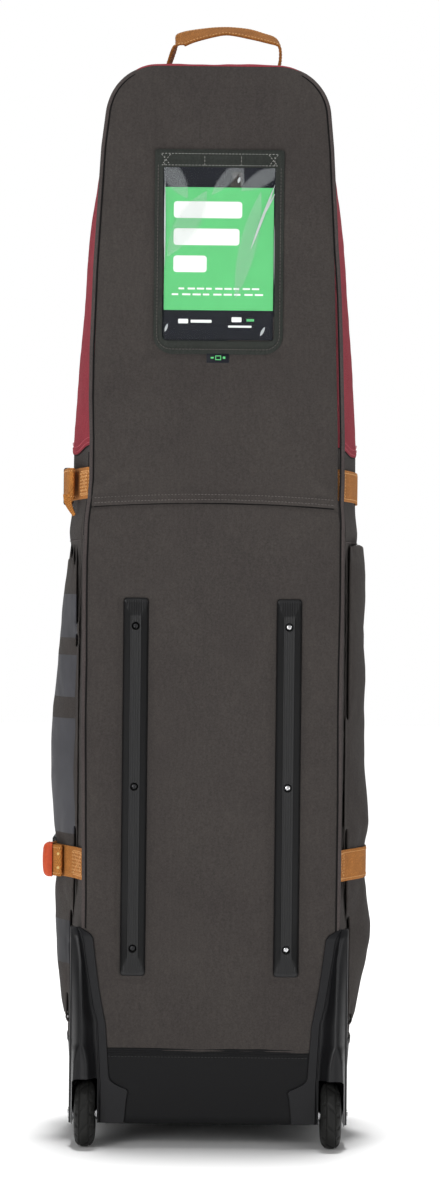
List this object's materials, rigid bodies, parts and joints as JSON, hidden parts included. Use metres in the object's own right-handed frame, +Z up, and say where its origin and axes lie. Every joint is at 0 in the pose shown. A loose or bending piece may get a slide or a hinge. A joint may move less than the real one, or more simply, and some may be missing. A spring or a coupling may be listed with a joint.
{
  "type": "golf travel case",
  "caption": "Tall wheeled golf travel case with a fabric shell, plastic skid rails, compression straps with buckles, a lid on a fabric hinge, zips, pockets and handles.",
  "frame": {"origin": "middle of the overall footprint, on the floor, with the case standing upright on its wheels and front foot", "axes": "+Z up along the case; -Y is the wheeled back with the skid rails; +Y is the front, which opens; +X is the side of the lid's fabric hinge"},
  "size_m": [0.3994, 0.3731, 1.3561],
  "materials": {
    "charcoal_cloth": "woven polyester",
    "burgundy_cloth": "woven polyester",
    "coated_cloth": "coated woven cloth",
    "piping": "cloth over cord",
    "tan_webbing": "woven webbing",
    "sleeve_binding": "woven binding",
    "rail_plastic": "moulded, fine grain",
    "housing_plastic": "moulded, fine grain",
    "sheet_plastic": "extruded sheet",
    "buckle_plastic": "moulded",
    "tyre_urethane": "cast urethane",
    "hub_plastic": "moulded",
    "steel": "bright zinc plated",
    "slider_metal": "dark plated",
    "pull_tab": "moulded",
    "zip_coil": "nylon coil",
    "padding": "foam with a cloth cover",
    "clear_film": "flexible clear film",
    "green_card": "printed card",
    "orange_tab": "moulded ribbed tab"
  },
  "bodies": {
    "case": {"lower_back_panel": "charcoal_cloth", "upper_back_panel": "charcoal_cloth", "left_gusset": "charcoal_cloth", "right_gusset": "charcoal_cloth", "hood_gusset": "burgundy_cloth", "boot": "coated_cloth", "base_board": "sheet_plastic", "back_piping": "piping", "main_zip": "zip_coil", "foot_zip": "zip_coil", "hinge_gusset": "charcoal_cloth", "frame_sheet": "sheet_plastic", "tie_strap": "tan_webbing", "hood_foam": "padding", "left_skid_rail": "rail_plastic", "right_skid_rail": "rail_plastic", "left_rail_screws": "steel", "right_rail_screws": "steel", "left_wheel_housing": "housing_plastic", "right_wheel_housing": "housing_plastic", "left_axle": "steel", "right_axle": "steel", "front_foot": "housing_plastic", "left_side_pocket": "charcoal_cloth", "right_side_pocket": "charcoal_cloth", "lower_left_strap": "tan_webbing", "lower_right_strap": "tan_webbing", "upper_left_strap": "tan_webbing", "upper_right_strap": "tan_webbing", "lower_buckle_socket": "buckle_plastic", "upper_buckle_socket": "buckle_plastic", "strap_pull_tab": "orange_tab", "sleeve_frame": "sleeve_binding", "sleeve_window": "clear_film"},
    "lid": {"lid_panel": "charcoal_cloth", "lid_hood": "burgundy_cloth", "front_pocket": "charcoal_cloth", "lower_lid_strap": "tan_webbing", "upper_lid_strap": "tan_webbing", "lower_buckle_plug": "buckle_plastic", "upper_buckle_plug": "buckle_plastic"},
    "left_wheel": {"left_tyre": "tyre_urethane", "left_hub": "hub_plastic", "left_inner_bearing": "steel", "left_outer_bearing": "steel"},
    "right_wheel": {"right_tyre": "tyre_urethane", "right_hub": "hub_plastic", "right_inner_bearing": "steel", "right_outer_bearing": "steel"},
    "top_handle": {"top_handle": "tan_webbing"},
    "carry_handle": {"carry_handle": "tan_webbing"},
    "card": {"address_card": "green_card"},
    "upper_slider": {"upper_slider": "slider_metal"},
    "upper_pull": {"upper_pull": "pull_tab"},
    "lower_slider": {"lower_slider": "slider_metal"},
    "lower_pull": {"lower_pull": "pull_tab"},
    "left_pocket_slider": {"left_pocket_slider": "slider_metal"},
    "right_pocket_slider": {"right_pocket_slider": "slider_metal"},
    "front_pocket_slider": {"front_pocket_slider": "slider_metal"}
  },
  "joints": [
    {"name": "lid_open", "type": "hinge", "parent": "case", "child": "lid", "pos_m": [0.1765, 0.04, 0.7], "axis": [0, 0, -1], "range_deg": [0, 110]},
    {"name": "left_wheel_spin", "type": "hinge", "parent": "case", "child": "left_wheel", "pos_m": [-0.1475, -0.15, 0.04], "axis": [1, 0, 0], "continuous": true},
    {"name": "right_wheel_spin", "type": "hinge", "parent": "case", "child": "right_wheel", "pos_m": [0.1475, -0.15, 0.04], "axis": [1, 0, 0], "continuous": true},
    {"name": "top_handle_fold", "type": "hinge", "parent": "case", "child": "top_handle", "pos_m": [0.003, -0.07, 1.3025], "axis": [1, 0, 0], "range_deg": [-50, 50]},
    {"name": "carry_handle_swing", "type": "hinge", "parent": "lid", "child": "carry_handle", "pos_m": [0, 0.15483, 0.252], "axis": [1, 0, 0], "range_deg": [0, 75]},
    {"name": "card_slide", "type": "slide", "parent": "case", "child": "card", "axis": [0, 0, 1], "range_m": [0, 0.16]},
    {"name": "upper_slider_slide", "type": "slide", "parent": "case", "child": "upper_slider", "axis": [0, 0, 1], "range_m": [0, 0.13]},
    {"name": "upper_pull_swing", "type": "hinge", "parent": "upper_slider", "child": "upper_pull", "pos_m": [-0.1838, 0.04, 0.624], "axis": [0, 1, 0], "range_deg": [0, 95]},
    {"name": "lower_slider_slide", "type": "slide", "parent": "case", "child": "lower_slider", "axis": [0, 0, -1], "range_m": [0, 0.12]},
    {"name": "lower_pull_swing", "type": "hinge", "parent": "lower_slider", "child": "lower_pull", "pos_m": [-0.1838, 0.04, 0.554], "axis": [0, 1, 0], "range_deg": [0, 95]},
    {"name": "left_pocket_slider_slide", "type": "slide", "parent": "case", "child": "left_pocket_slider", "axis": [0, 0, -1], "range_m": [0, 0.15]},
    {"name": "right_pocket_slider_slide", "type": "slide", "parent": "case", "child": "right_pocket_slider", "axis": [0, 0, -1], "range_m": [0, 0.15]},
    {"name": "front_pocket_slider_slide", "type": "slide", "parent": "lid", "child": "front_pocket_slider", "axis": [-1, 0, 0], "range_m": [0, 0.12]}
  ]
}
